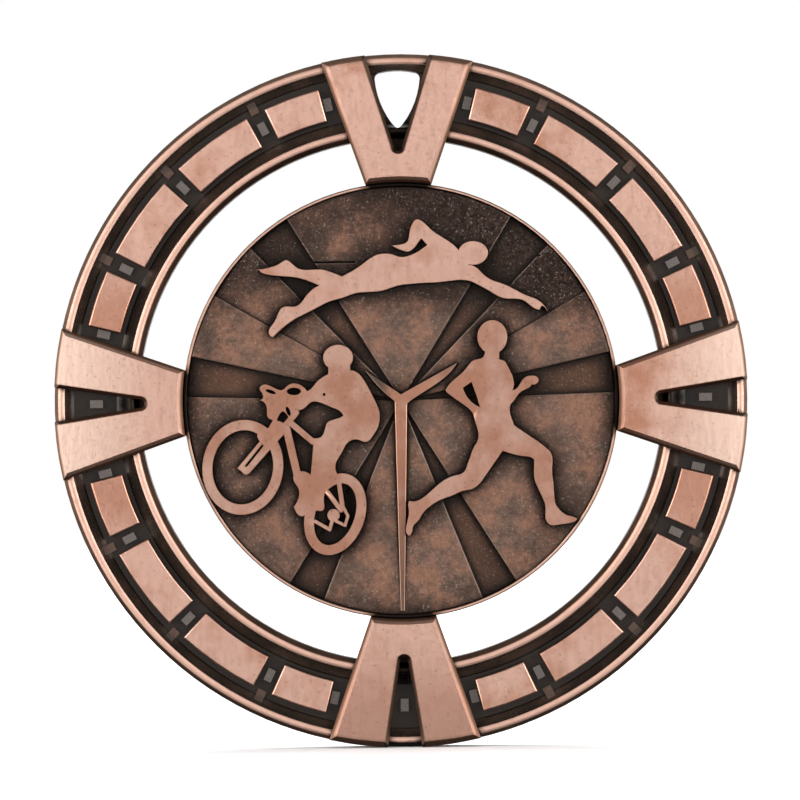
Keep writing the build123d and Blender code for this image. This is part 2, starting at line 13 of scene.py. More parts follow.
import bpy
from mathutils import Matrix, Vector


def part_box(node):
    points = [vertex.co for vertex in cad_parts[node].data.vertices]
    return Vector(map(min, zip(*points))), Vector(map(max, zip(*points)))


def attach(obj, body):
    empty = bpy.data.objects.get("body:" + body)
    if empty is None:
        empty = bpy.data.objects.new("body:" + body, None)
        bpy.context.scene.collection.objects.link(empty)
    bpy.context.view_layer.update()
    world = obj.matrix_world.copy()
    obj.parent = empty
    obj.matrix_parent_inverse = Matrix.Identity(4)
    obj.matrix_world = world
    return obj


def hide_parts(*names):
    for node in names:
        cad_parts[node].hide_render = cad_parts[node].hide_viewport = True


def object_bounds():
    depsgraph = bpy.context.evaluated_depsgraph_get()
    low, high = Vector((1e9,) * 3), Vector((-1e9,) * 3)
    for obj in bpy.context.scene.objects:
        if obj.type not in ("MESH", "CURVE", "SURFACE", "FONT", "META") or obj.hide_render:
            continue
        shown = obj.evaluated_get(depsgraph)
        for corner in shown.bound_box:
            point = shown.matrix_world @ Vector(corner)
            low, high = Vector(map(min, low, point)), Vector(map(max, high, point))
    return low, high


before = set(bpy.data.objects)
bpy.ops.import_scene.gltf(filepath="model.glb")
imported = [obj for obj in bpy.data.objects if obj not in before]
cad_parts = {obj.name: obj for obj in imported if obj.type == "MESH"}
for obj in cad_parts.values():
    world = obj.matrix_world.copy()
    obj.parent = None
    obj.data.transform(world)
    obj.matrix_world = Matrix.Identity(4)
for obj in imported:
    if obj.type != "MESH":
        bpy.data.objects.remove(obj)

cad_box = [list(corner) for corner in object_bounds()]
print("the frame holds", len(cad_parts), "pieces")

# %% [markdown]
# ## Sizes
#
# Lengths in Blender are metres, and a medal is thought of in millimetres, so the materials work in
# millimetres from the middle of the medal and from its back. The rim and the fronts of the pieces
# are read from the frame. The ring's width and the width of the open windows inside it are the two
# sizes that its bounding box doesn't tell.

# %% Sizes of the medal, in millimetres
MM = 0.001


def front(node):
    """How high a piece's front stands above the medal's back."""
    return -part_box(node)[0].y / MM


RIM_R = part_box("ring_frame")[1].x / MM
RING_W = 8.5
WINDOW_W = 4.5
INNER_R = RIM_R - RING_W
CUP_R = INNER_R - WINDOW_W
RAIL_TOP = front("ring_frame")
FACE_TOP = front("strut_top")
print("rim radius", round(RIM_R, 2), "mm, thickness", round(FACE_TOP, 2), "mm")

# %% [markdown]
# ## Small tools for node trees
#
# A patina is the same recipe on every piece: dark where the polishing wheel can't reach, bright
# where it can, with painted shade in corners and painted highlights on edges. A recipe becomes many
# small nodes, and a tree written out node by node is hard to read. So a few short helpers come
# first. This one adds a node, sets it up and fills its sockets, with numbers or with the sockets of
# other nodes.

# %% Helper: add a node
def add_node(tree, kind, values=None, **settings):
    """A node with its settings, and its sockets filled with numbers or joined to other sockets."""
    node = tree.nodes.new(kind)
    for key, value in settings.items():
        setattr(node, key, value)
    for key, value in (values or {}).items():
        if isinstance(value, bpy.types.NodeSocket):
            tree.links.new(value, node.inputs[key])
        else:
            node.inputs[key].default_value = value
    return node


# %% [markdown]
# Most of a patina is sums on masks, which are numbers from 0 to 1. With these, a mask reads almost
# like a formula. The smooth ramp is the most used: it turns a height or a distance into a mask.

# %% Helpers: sums, ramps and mixed colours
def math_node(tree, operation, first, second=0.5):
    """One sum on one or two values."""
    return add_node(tree, "ShaderNodeMath", {0: first, 1: second}, operation=operation).outputs[0]


def plus(tree, first, second):
    return math_node(tree, "ADD", first, second)


def minus(tree, first, second):
    return math_node(tree, "SUBTRACT", first, second)


def times(tree, first, second):
    return math_node(tree, "MULTIPLY", first, second)


def map_range(tree, value, values, **settings):
    """A Map Range node on a value."""
    return add_node(tree, "ShaderNodeMapRange", {"Value": value, **values}, **settings).outputs["Result"]


def ramp(tree, value, low, high):
    """0 below low, 1 above high, smooth between. low may be the larger one."""
    ends = {"From Min": low, "From Max": high}
    return map_range(tree, value, ends, interpolation_type="SMOOTHSTEP")


def mix_colour(tree, factor, first, second, blend="MIX"):
    """One colour over another."""
    node = add_node(tree, "ShaderNodeMix", data_type="RGBA", blend_type=blend)
    for index, value in ((0, factor), (6, first), (7, second)):
        if isinstance(value, bpy.types.NodeSocket):
            tree.links.new(value, node.inputs[index])
        else:
            node.inputs[index].default_value = value
    return node.outputs[2]


# %% [markdown]
# Recipes that several materials share are kept as node groups, each built once. A group needs its
# sockets named before anything can be joined to them. A noise in a group or a material is always
# laid over the place in millimetres, so that its scale can be read as features per millimetre.

# %% Helpers: start a group, find the place, add a noise
def start_group(name, inputs, outputs):
    """An empty shader group. inputs maps a name to its value, outputs lists (name, socket type)."""
    group = bpy.data.node_groups.new(name, "ShaderNodeTree")
    for socket_name, value in inputs.items():
        socket = group.interface.new_socket(socket_name, in_out="INPUT", socket_type="NodeSocketFloat")
        socket.default_value = value
    for socket_name, kind in outputs:
        group.interface.new_socket(socket_name, in_out="OUTPUT", socket_type=kind)
    return group, group.nodes.new("NodeGroupInput"), group.nodes.new("NodeGroupOutput")


def point_in_mm(tree):
    """The place of a point on the medal, in millimetres."""
    here = add_node(tree, "ShaderNodeTexCoord").outputs["Object"]
    sizes = {0: here, 1: (1 / MM,) * 3}
    return add_node(tree, "ShaderNodeVectorMath", sizes, operation="MULTIPLY").outputs[0]


def noise(tree, point, scale, detail, roughness=0.5):
    """A cloudy pattern from 0 to 1."""
    values = {"Vector": point, "Scale": scale, "Detail": detail, "Roughness": roughness}
    return add_node(tree, "ShaderNodeTexNoise", values).outputs["Fac"]


# %% [markdown]
# ## How far out and how high
#
# The patina follows the relief. Object coordinates give each point's place on the medal, because
# every piece keeps its place in its mesh: minus Y is the height above the back, and the length of
# (X, Z) is the distance from the middle. The struts stand on the X and Z axes, so the smaller of
# |X| and |Z| is the distance beside the middle line of the nearest strut. Sideways and Up are X and
# Z themselves.

# %% Group: place on the medal
def make_place_group():
    names = ("Height", "Radius", "Beside", "Sideways", "Up")
    group, _, out = start_group("place on the medal", {}, [(name, "NodeSocketFloat") for name in names])
    sideways, depth, up = add_node(group, "ShaderNodeSeparateXYZ", {0: point_in_mm(group)}).outputs
    flat = add_node(group, "ShaderNodeCombineXYZ", {0: sideways, 2: up})
    length = add_node(group, "ShaderNodeVectorMath", {0: flat.outputs[0]}, operation="LENGTH")
    across = math_node(group, "ABSOLUTE", sideways)
    upright = math_node(group, "ABSOLUTE", up)
    beside = math_node(group, "MINIMUM", across, upright)
    for name, value in zip(names, (times(group, depth, -1.0), length.outputs["Value"], beside, sideways, up)):
        group.links.new(value, out.inputs[name])
    return group


place_group = make_place_group()
print(place_group.name, "is a group of", len(place_group.nodes), "nodes")

# %% [markdown]
# ## The satin grain
#
# The raised faces were rubbed on a soft wheel, which leaves short fine streaks that run up and
# down the medal, and cloudy patches where the plate took more or less of the wash. The streaks
# are a noise squeezed across and stretched along Z. The clouds are a larger, softer noise, and the
# drift is larger still. Each piece has its own seed, so that no two pieces look alike.

# %% Group: satin grain
def make_grain_group():
    names = ("Streaks", "Clouds", "Drift", "Fine")
    group, inp, out = start_group("satin grain", {"Seed": 0.0}, [(name, "NodeSocketFloat") for name in names])
    seed = add_node(group, "ShaderNodeCombineXYZ", {1: inp.outputs["Seed"]}).outputs[0]
    point = add_node(group, "ShaderNodeVectorMath", {0: point_in_mm(group), 1: seed}).outputs[0]
    long = add_node(group, "ShaderNodeMapping", {"Vector": point, "Scale": (1.5, 1.0, 0.5)}).outputs[0]
    patterns = (noise(group, long, 1.0, 2.0), noise(group, point, 0.28, 4.0, 0.55),
                noise(group, point, 0.06, 1.0), noise(group, point, 3.2, 3.0, 0.6))
    for name, pattern in zip(names, patterns):
        group.links.new(pattern, out.inputs[name])
    return group


grain_group = make_grain_group()
print(grain_group.name, "is a group of", len(grain_group.nodes), "nodes")

# %% [markdown]
# ## Dark corners and bright edges: wash and painted shade, wear and painted highlight
#
# After plating, a medal is dipped in a black wash and rubbed. The wash stays wherever something
# stands close by, and the rubbing goes through it first on the edges. The dark corners are this wash
# and also painted shade, and the bright edges are wear and also a painted highlight. An Ambient
# Occlusion node finds the corners, and a Bevel node finds the edges: where its rounded normal
# differs from the true one, there is an edge. Both look at the shape itself, so nothing has to be
# painted by hand.

# %% Group: corners and edges
def make_corner_group():
    group, inp, out = start_group("corners and edges", {"Reach": 0.0012, "Edge Width": 0.00018}, [
        ("Corner", "NodeSocketFloat"), ("Edge", "NodeSocketFloat"), ("Round", "NodeSocketVector")])
    shade = add_node(group, "ShaderNodeAmbientOcclusion", {"Distance": inp.outputs["Reach"]}, samples=6)
    # Corner is 1 minus AO: the wash in corners, and a painted shade there
    corner = minus(group, 1.0, shade.outputs["AO"])
    rounded = add_node(group, "ShaderNodeBevel", {"Radius": inp.outputs["Edge Width"]}, samples=4).outputs[0]
    true_normal = add_node(group, "ShaderNodeNewGeometry").outputs["Normal"]
    alike = add_node(group, "ShaderNodeVectorMath", {0: rounded, 1: true_normal}, operation="DOT_PRODUCT")
    # Edge marks worn edges, and where a highlight is painted
    edge = ramp(group, alike.outputs["Value"], 0.995, 0.85)
    open_edge = times(group, edge, ramp(group, corner, 0.45, 0.15))
    group.links.new(corner, out.inputs["Corner"])
    group.links.new(open_edge, out.inputs["Edge"])
    group.links.new(rounded, out.inputs["Round"])
    return group


corner_group = make_corner_group()
print(corner_group.name, "is a group of", len(corner_group.nodes), "nodes")

# %% [markdown]
# ## The copper itself
#
# Everything is one metal. What changes over the surface is how much of the black wash is left,
# how much light and shade is painted in, and how smooth it is: rubbed copper is satin, and the
# wash in the hollows dries glossy. These colours run from the palest rubbed plate to the wash. A
# metal's base colour is the colour of what it reflects, so even the brightest copper is a middling
# value here.

# %% Colours of the plate
PALE = (0.60, 0.365, 0.285, 1)
COPPER = (0.43, 0.200, 0.130, 1)
STREAK = (0.30, 0.135, 0.085, 1)
# worn copper on the edges and a painted highlight
WORN_EDGE_AND_HIGHLIGHT = (0.60, 0.31, 0.20, 1)
TARNISH = (0.22, 0.125, 0.090, 1)
BROWN = (0.165, 0.085, 0.050, 1)
UMBER = (0.075, 0.040, 0.026, 1)
WASH = (0.013, 0.009, 0.007, 1)
print("plate from", PALE[:3], "down to", WASH[:3])

# %% [markdown]
# ## Starting and finishing a material
#
# Every material here begins as a plain metal with the medal's place and its corners at hand, and
# ends the same way: a colour, a roughness, and a relief of a few hundredths of a millimetre.

# %% Helpers: start and finish a material
def start_material(name, reach, edge_width=0.18):
    """A metal, its node tree, and the place and corner groups. The sizes are in mm."""
    material = bpy.data.materials.new(name)
    material.use_nodes = True
    tree = material.node_tree
    tree.nodes["Principled BSDF"].inputs["Metallic"].default_value = 1.0
    place = add_node(tree, "ShaderNodeGroup", node_tree=place_group).outputs
    widths = {"Reach": reach * MM, "Edge Width": edge_width * MM}
    corners = add_node(tree, "ShaderNodeGroup", widths, node_tree=corner_group).outputs
    return material, tree, place, corners


def finish_material(material, colour, rough, relief, normal=None, metallic=None):
    """Joins colour, roughness and a relief, in mm, to the shader."""
    tree = material.node_tree
    shader = tree.nodes["Principled BSDF"]
    tree.links.new(colour, shader.inputs["Base Color"])
    tree.links.new(rough, shader.inputs["Roughness"])
    bump = add_node(tree, "ShaderNodeBump", {"Height": relief, "Strength": 1.0, "Distance": MM})
    if normal:
        tree.links.new(normal, bump.inputs["Normal"])
    if metallic:
        tree.links.new(metallic, shader.inputs["Metallic"])
    tree.links.new(bump.outputs["Normal"], shader.inputs["Normal"])
    print(material.name, "has", len(tree.nodes), "nodes")


# %% [markdown]
# The rubbed face comes back on every raised piece. Its tone says how far the plate has gone from
# pale to coppery: the clouds and the drift together cross a threshold, and the tone moves it.

# %% The rubbed satin face
def rubbed_face(tree, seed, tone):
    """The grain, colour and roughness of a rubbed face."""
    grain = add_node(tree, "ShaderNodeGroup", {"Seed": seed}, node_tree=grain_group).outputs
    shift = plus(tree, grain["Clouds"], times(tree, grain["Drift"], 0.8))
    clouds = ramp(tree, shift, 1.2 - tone, 1.6 - tone)
    colour = mix_colour(tree, clouds, PALE, COPPER)
    streaks = times(tree, ramp(tree, grain["Streaks"], 0.45, 0.75), 0.22)
    colour = mix_colour(tree, streaks, colour, STREAK)
    rough = map_range(tree, grain["Fine"], {"From Min": 0.3, "From Max": 0.7, "To Min": 0.27, "To Max": 0.38})
    return grain, colour, rough


# %% [markdown]
# ## Raised pieces: struts, tiles and figures
#
# Each has a rubbed top at its own height and darker sides. The mask is the height above the back:
# just under the top the wash begins, and it gets thicker on the way down. The height is stirred a
# little with the fine noise, so that the border isn't drawn with a ruler.

# %% Material for a raised piece
def raised_material(name, top, fade, seed, tone, side, tarnish=0.0, painted_tint=None, details=None):
    """Rubbed copper at the height top, over a side colour that begins within fade below it.

    A tint of painted light and shade may go over the rubbed face; details adds what only one kind of piece
    has.
    """
    material, tree, place, corners = start_material(name, 0.7)
    grain, colour, rough = rubbed_face(tree, seed, tone)
    relief = times(tree, grain["Streaks"], 0.012)
    if painted_tint:
        colour = painted_tint(tree, place, colour)
    if tarnish:
        colour = mix_colour(tree, tarnish, colour, TARNISH)
    # worn copper and a painted highlight along the edges
    colour = mix_colour(tree, times(tree, corners["Edge"], 0.8), colour, WORN_EDGE_AND_HIGHLIGHT)
    rough = minus(tree, rough, times(tree, corners["Edge"], 0.1))
    height = plus(tree, place["Height"], times(tree, grain["Fine"], 0.07))
    bare = ramp(tree, height, top - 0.8 * fade, top - 0.25 * fade)
    deep = ramp(tree, height, top - fade - 0.8, top - fade)
    colour = mix_colour(tree, bare, mix_colour(tree, deep, WASH, side), colour)
    # the wash in the corners, and a painted shade there
    colour = mix_colour(tree, ramp(tree, corners["Corner"], 0.25, 0.8), colour, WASH)
    if details:
        colour, relief = details(tree, place, colour, relief)
    finish_material(material, colour, rough, relief)
    return material


# %% [markdown]
# ## The struts
#
# The struts aren't lit the same all over, and the difference is painted into their colour. The
# side struts get a painted highlight toward the rim, and the bottom one a darker, more coppery
# painted shade. At the top and the bottom, the rim ends turn away from the light and run out into a
# painted brown shade.

# %% Painted light and shade on the struts
# painted light on the side struts, painted shade on the bottom one
PAINTED_SIDE_LIGHT = (0.60, 0.435, 0.355, 1)
PAINTED_LOW_SHADE = (0.42, 0.21, 0.145, 1)
# painted brown shade on the top and bottom rim ends
PAINTED_RIM_SHADE = (0.21, 0.115, 0.078, 1)


def strut_light_and_shade(tree, place, colour):
    """Painted highlight toward the rim at the sides of the medal, painted coppery shade at its bottom."""
    across = math_node(tree, "ABSOLUTE", place["Sideways"])
    pale = times(tree, ramp(tree, across, 23.0, 34.0), 0.8)
    colour = mix_colour(tree, pale, colour, PAINTED_SIDE_LIGHT)
    painted_shade = times(tree, ramp(tree, place["Up"], -24.0, -31.0), 0.55)
    return mix_colour(tree, painted_shade, colour, PAINTED_LOW_SHADE)


def shaded_rim_ends(tree, place, colour):
    """Painted brown shade at the last of the top and bottom struts, where they turn away from the light."""
    level = math_node(tree, "ABSOLUTE", place["Up"])
    # painted shade where the ends turn away from the light
    end = times(tree, ramp(tree, place["Radius"], RIM_R - 0.9, RIM_R - 0.3), ramp(tree, level, 30.0, 33.0))
    return mix_colour(tree, end, colour, PAINTED_RIM_SHADE)


# %% [markdown]
# The wheel can't reach into the notch of a strut, so the wash stays on the notch's sloped edge. The
# notch has a round tip and straight sides that spread outward, and the mask is the distance to
# that outline. The top strut's notch frames the eyelet. It starts further in and spreads faster.

# %% The dark edge of a strut's notch
NOTCH_COLOUR = (0.095, 0.055, 0.038, 1)
NOTCH_TIP_R = INNER_R - 0.2
NOTCH_TIP_HALF = 0.4
NOTCH_SPREAD = 0.155
EYELET_NOTCH_IN = 0.7
EYELET_NOTCH_SPREAD = 0.154   # more than the others


def notch_wall(tree, place):
    """1 on the sloped edge of a strut's notch."""
    eyelet = ramp(tree, place["Up"], 20.0, 21.0)
    tip = minus(tree, NOTCH_TIP_R, times(tree, eyelet, EYELET_NOTCH_IN))
    spread = plus(tree, times(tree, eyelet, EYELET_NOTCH_SPREAD), NOTCH_SPREAD)
    past_tip = math_node(tree, "MAXIMUM", minus(tree, place["Radius"], tip), 0.0)
    before_tip = math_node(tree, "MAXIMUM", minus(tree, tip, place["Radius"]), 0.0)
    half = plus(tree, times(tree, past_tip, spread), NOTCH_TIP_HALF)
    offset = add_node(tree, "ShaderNodeCombineXYZ", {0: place["Beside"], 1: before_tip})
    reach = add_node(tree, "ShaderNodeVectorMath", {0: offset.outputs[0]}, operation="LENGTH")
    return ramp(tree, minus(tree, reach.outputs["Value"], half), 0.46, 0.26)


# %% [markdown]
# The struts' faces are also a little crowned: they fall away toward the rim, more and more. The
# fall is a fraction of a millimetre, so it is part of the relief in the material and not of the
# mesh. It shows as a slow change of brightness along each arm.

# %% Material for the struts
CROWN_FROM = 24.0
CROWN_FALL = -0.0028


def strut_details(tree, place, colour, relief):
    """The painted shade of the ends, the dark notch and the crown of a strut."""
    colour = shaded_rim_ends(tree, place, colour)
    colour = mix_colour(tree, notch_wall(tree, place), colour, NOTCH_COLOUR)
    past = math_node(tree, "MAXIMUM", minus(tree, place["Radius"], CROWN_FROM), 0.0)
    fall = times(tree, math_node(tree, "POWER", past, 2.0), CROWN_FALL)
    return colour, plus(tree, relief, fall)


strut_metal = raised_material("strut copper", FACE_TOP, fade=0.5, seed=0.0, tone=0.30, side=BROWN,
                              painted_tint=strut_light_and_shade, details=strut_details)

# %% [markdown]
# ## The tiles
#
# The sixteen blocks in the channel stand a little lower than the struts. Those at the sides of the
# medal get a painted shade, darker and more coppery, from a mask by height above and below the
# middle.

# %% Material for the tiles
# painted shade on the tiles at the sides
PAINTED_SIDE_SHADE_TILE = (0.40, 0.175, 0.110, 1)


def tile_side_shade(tree, place, colour):
    """Painted darker, coppery shade at the sides of the medal."""
    level = math_node(tree, "ABSOLUTE", place["Up"])
    # painted shade, strongest near the middle height
    painted_shade = times(tree, ramp(tree, level, 16.0, 9.0), 0.7)
    return mix_colour(tree, painted_shade, colour, PAINTED_SIDE_SHADE_TILE)


tile_metal = raised_material("tile copper", front("rim_tile_01"), fade=0.14, seed=20.0, tone=0.36,
                             side=UMBER, painted_tint=tile_side_shade)

# %% [markdown]
# ## The figures
#
# The figures have the same rubbed face. The swimmer is the palest of the three, and the runner and
# the cyclist are browner, which is a higher tone and a little tarnish.

# %% Materials for the figures
FIGURE_TOP = front("runner")
swimmer_metal = raised_material("swimmer copper", FIGURE_TOP, fade=0.12, seed=40.0, tone=0.35,
                                side=BROWN, tarnish=0.12)
figure_metal = raised_material("figure copper", FIGURE_TOP, fade=0.12, seed=50.0, tone=0.55,
                               side=BROWN, tarnish=0.28)

# %% [markdown]
# ## The divider
#
# The three-legged divider slopes down from its hub, so the wheel reached less and less of it:
# bright at the hub, brown toward the ends of its arms. The left arm, beside the cyclist, is nearly
# black. Its edges get a painted highlight.

# %% Material for the divider
DIVIDER_TARNISH = (0.22, 0.115, 0.080, 1)
DIVIDER_BROWN = (0.17, 0.098, 0.070, 1)
LEFT_ARM_DARK = (0.085, 0.058, 0.045, 1)
# a painted highlight on the divider's edges
DIVIDER_EDGE_HIGHLIGHT = (0.50, 0.36, 0.29, 1)


def divider_material():
    material, tree, place, corners = start_material("divider copper", 0.7)
    grain, colour, rough = rubbed_face(tree, 60.0, 0.65)
    colour = mix_colour(tree, 0.25, colour, DIVIDER_TARNISH)
    top = front("y_divider")
    left_arm = ramp(tree, place["Sideways"], -0.7, -2.4)
    bare = times(tree, ramp(tree, place["Height"], top - 0.42, top - 0.04), minus(tree, 1.0, left_arm))
    worn = mix_colour(tree, bare, DIVIDER_BROWN, colour)
    worn = mix_colour(tree, left_arm, worn, LEFT_ARM_DARK)
    deep = ramp(tree, place["Height"], top - 1.0, top - 0.45)
    colour = mix_colour(tree, deep, UMBER, worn)
    # the painted highlight on the divider's edges
    colour = mix_colour(tree, times(tree, corners["Edge"], 0.6), colour, DIVIDER_EDGE_HIGHLIGHT)
    # the wash in the corners, and a painted shade there
    colour = mix_colour(tree, ramp(tree, corners["Corner"], 0.3, 0.8), colour, WASH)
    finish_material(material, colour, rough, times(tree, grain["Streaks"], 0.012))
    return material


divider_metal = divider_material()

# %% [markdown]
# ## The ring
#
# The ring is one casting with several finishes. The channel between the rails was never rubbed, so
# it is glossy black wash. The crests of both rails are bare. The sloped edges, the rim and the back
# are brown: handled, not polished. Each finish is a band between two radii and above some height.

# %% Masks and colours of the ring's parts
CREST_PINK = (0.40, 0.26, 0.205, 1)
EDGE_BROWNS = (0.13, 0.066, 0.040, 1), (0.20, 0.105, 0.066, 1)
LOW_BROWN = (0.045, 0.028, 0.020, 1)
BACK_BROWNS = (0.155, 0.086, 0.059, 1), (0.255, 0.137, 0.092, 1)


def band(tree, radius, start, end, soft):
    """1 between two radii, fading over the soft width."""
    past_start = ramp(tree, radius, start - soft, start + soft)
    before_end = ramp(tree, radius, end + soft, end - soft)
    return times(tree, past_start, before_end)


def crest_mask(tree, place):
    """1 on the bare crests of the two rails."""
    high = ramp(tree, place["Height"], RAIL_TOP - 0.45, RAIL_TOP - 0.25)
    inner = band(tree, place["Radius"], INNER_R + 0.48, INNER_R + 1.1, 0.07)
    outer = band(tree, place["Radius"], RIM_R - 1.05, RIM_R - 0.38, 0.07)
    return times(tree, plus(tree, inner, outer), high)


def notch_floor(tree, place):
    """1 on the ring's inner edge where it shows through a strut's notch, deep in the wash and in painted
    shade.
    """
    near = ramp(tree, place["Beside"], 3.2, 2.8)
    inside = times(tree, near, ramp(tree, place["Radius"], 30.0, 29.0))
    return times(tree, inside, ramp(tree, place["Height"], 0.7, 0.9))


def handled_brown(tree, place, grain, back):
    """The brown of the sloped edges and the rim. The back was wiped, and copper shows through."""
    clouds, streaks = grain["Clouds"], grain["Streaks"]
    brown = mix_colour(tree, ramp(tree, clouds, 0.35, 0.65), *EDGE_BROWNS)
    brown = mix_colour(tree, ramp(tree, place["Height"], 1.4, 2.7), LOW_BROWN, brown)
    wiped = ramp(tree, plus(tree, clouds, times(tree, streaks, 0.5)), 0.45, 1.05)
    return mix_colour(tree, back, brown, mix_colour(tree, wiped, *BACK_BROWNS))


# %% [markdown]
# The wash in the channel is so thick that it is a lacquer, with a shine of its own over the metal.
# It is blackest on the floor. The small pads between the tiles and the ribs behind them stand up
# out of it, and there it is thinner: grey on the pads, brown on the ribs. The grey of the pads is
# also a painted sheen of their glossy tops.

# %% The lacquer of the channel
LACQUERS = (0.050, 0.034, 0.026, 1), (0.085, 0.052, 0.038, 1)
FLOOR_LACQUER = (0.022, 0.015, 0.011, 1)
# thinner wash on the pads, and a painted sheen
PAD_GREY_AND_SHEEN = (0.12, 0.10, 0.09, 1)
RIB_BROWN = (0.085, 0.050, 0.036, 1)


def channel_mask(tree, place):
    """1 in the channel between the rails."""
    between = band(tree, place["Radius"], INNER_R + 1.05, RIM_R - 1.0, 0.06)
    return times(tree, between, ramp(tree, place["Height"], 1.2, 1.4))


def channel_lacquer(tree, place, grain):
    """The colour of the wash on the channel's walls, floor, pads and ribs."""
    height, radius = place["Height"], place["Radius"]
    lacquer = mix_colour(tree, ramp(tree, grain["Clouds"], 0.4, 0.65), *LACQUERS)
    lacquer = mix_colour(tree, ramp(tree, height, 1.64, 1.54), lacquer, FLOOR_LACQUER)
    pads = times(tree, band(tree, radius, RIM_R - 5.4, RIM_R - 3.5, 0.1), ramp(tree, height, 2.0, 2.2))
    # thinner wash and a painted sheen on the pads' tops
    lacquer = mix_colour(tree, pads, lacquer, PAD_GREY_AND_SHEEN)
    ribs = times(tree, band(tree, radius, RIM_R - 3.1, RIM_R - 1.9, 0.1), ramp(tree, height, 1.8, 1.9))
    return mix_colour(tree, ribs, lacquer, RIB_BROWN)


# %% [markdown]
# The crest of a rail is less than a millimetre wide, and the frame's mesh has only a few facets
# across it, which would show as a jagged highlight. A crest's true normal is easy to work out: in
# its middle it faces forward, and it leans out on one side and in on the other. So the crests take
# their normal from that sum, and everything else keeps the mesh's own.

# %% The round of the crests
CREST_LEAN = 1.5
INNER_CREST_R = INNER_R + 0.79
OUTER_CREST_IN = 7.0   # from the inner crest out to the outer one


def crest_normal(tree, place, crest):
    """The mesh's normal, and on the crests the normal of a rounded rail."""
    outer = ramp(tree, place["Radius"], 30.0, 31.0)
    middle = plus(tree, times(tree, outer, OUTER_CREST_IN), INNER_CREST_R)
    lean = times(tree, minus(tree, place["Radius"], middle), CREST_LEAN)
    lean = math_node(tree, "DIVIDE", lean, place["Radius"])
    leaning = add_node(tree, "ShaderNodeCombineXYZ", {
        0: times(tree, place["Sideways"], lean), 1: -1.0, 2: times(tree, place["Up"], lean)})
    rounded = add_node(tree, "ShaderNodeVectorMath", {0: leaning.outputs[0]}, operation="NORMALIZE")
    own = add_node(tree, "ShaderNodeNewGeometry").outputs["Normal"]
    normal = add_node(tree, "ShaderNodeMix", {0: crest, 4: own, 5: rounded.outputs[0]}, data_type="VECTOR")
    return normal.outputs[1]


# %% [markdown]
# Now the parts go together, from the lowest finish to the highest: brown, lacquer, wash, bare
# copper on the crests and on the thin rim of the cup, and last the wash in every corner, which is
# also painted shade.

# %% Material for the ring frame
def cup_rim(tree, place):
    """1 on the thin bright rim of the cup, away from the struts."""
    rim = band(tree, place["Radius"], CUP_R - 0.28, CUP_R - 0.12, 0.04)
    rim = times(tree, rim, ramp(tree, place["Height"], 2.05, 2.2))
    return times(tree, rim, ramp(tree, place["Beside"], 3.2, 4.4))


def ring_material():
    material, tree, place, corners = start_material("ring copper", 1.0)
    grain, copper, _ = rubbed_face(tree, 80.0, 0.25)
    copper = mix_colour(tree, 0.5, copper, CREST_PINK)
    channel = channel_mask(tree, place)
    notch_wash_and_shade = notch_floor(tree, place)
    crest = times(tree, crest_mask(tree, place), minus(tree, 1.0, notch_wash_and_shade))
    back = ramp(tree, place["Height"], 0.15, 0.05)
    brown = handled_brown(tree, place, grain, back)
    colour = mix_colour(tree, channel, brown, channel_lacquer(tree, place, grain))
    # the rail inside a notch: black wash and painted shade
    colour = mix_colour(tree, notch_wash_and_shade, colour, WASH)
    bare = math_node(tree, "MAXIMUM", crest, cup_rim(tree, place))
    colour = mix_colour(tree, bare, colour, copper)
    # the wash in the corners, and a painted shade there, less in the channel
    outside_channel = minus(tree, 1.0, times(tree, channel, 0.85))
    shade = times(tree, ramp(tree, corners["Corner"], 0.22, 0.55), outside_channel)
    colour = mix_colour(tree, shade, colour, WASH)
    rough = map_range(tree, channel, {"To Min": 0.40, "To Max": 0.24})
    rough = plus(tree, rough, times(tree, crest, 0.12))
    rough = plus(tree, rough, times(tree, minus(tree, grain["Fine"], 0.5), 0.25))
    relief = times(tree, grain["Fine"], plus(tree, times(tree, back, 0.010), 0.002))
    finish_material(material, colour, rough, relief, crest_normal(tree, place, crest),
                    metallic=minus(tree, 1.0, times(tree, channel, 0.45)))
    return material


ring_metal = ring_material()

# %% [markdown]
# ## The disc
#
# The disc was sand cast, so it has a grain of small pits and bumps a few tenths of a millimetre
# across. The wash sits in the pits, with a few bright grains between. It also gathers along every
# wall and round the figures, together with a painted shade, and the middles of the facets, which
# the wheel did touch, are lighter and redder. First comes the mask for where the wheel did not reach
# and where shade is painted. It adds up the corners, which are wash and painted shade, the mottle,
# the clouds, the top of the disc, most of all at the right, and the rim.

# %% Where the wheel didn't reach the disc, and where shade is painted
DISC_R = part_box("centre_disc")[1].x / MM


def disc_hollow(tree, place, corner, mottle, clouds):
    """Higher where more of the wash is left, and in the corners, where shade is painted too."""
    hollow = plus(tree, corner, times(tree, minus(tree, mottle, 0.5), 0.6))
    hollow = plus(tree, hollow, times(tree, minus(tree, 0.5, clouds), 0.4))
    to_right = {"From Min": -6.0, "From Max": 8.0, "To Min": 0.12, "To Max": 0.34}
    missed = times(tree, ramp(tree, place["Up"], 7.0, 12.5), map_range(tree, place["Sideways"], to_right))
    hollow = plus(tree, hollow, missed)
    by_rim = ramp(tree, place["Radius"], DISC_R - 4.6, DISC_R - 0.7)
    return plus(tree, hollow, times(tree, by_rim, 0.08))


# %% [markdown]
# The same two noises that stir the colour are also the relief, so that a dark spot is a real pit.
# The sunk rays are browner than the facets. Their walls are low, and a low wall shades little, so
# there the corner mask is raised before it draws the black line at the foot of the wall, which is
# wash and a painted shadow.

# %% Material for the centre disc
PIT_BLACKS = (0.012, 0.008, 0.007, 1), (0.032, 0.020, 0.015, 1)
FACET_COPPERS = (0.125, 0.080, 0.061, 1), (0.175, 0.092, 0.062, 1)
RAY_BROWN = (0.092, 0.048, 0.031, 1)
GRAIN_GREY = (0.23, 0.20, 0.18, 1)
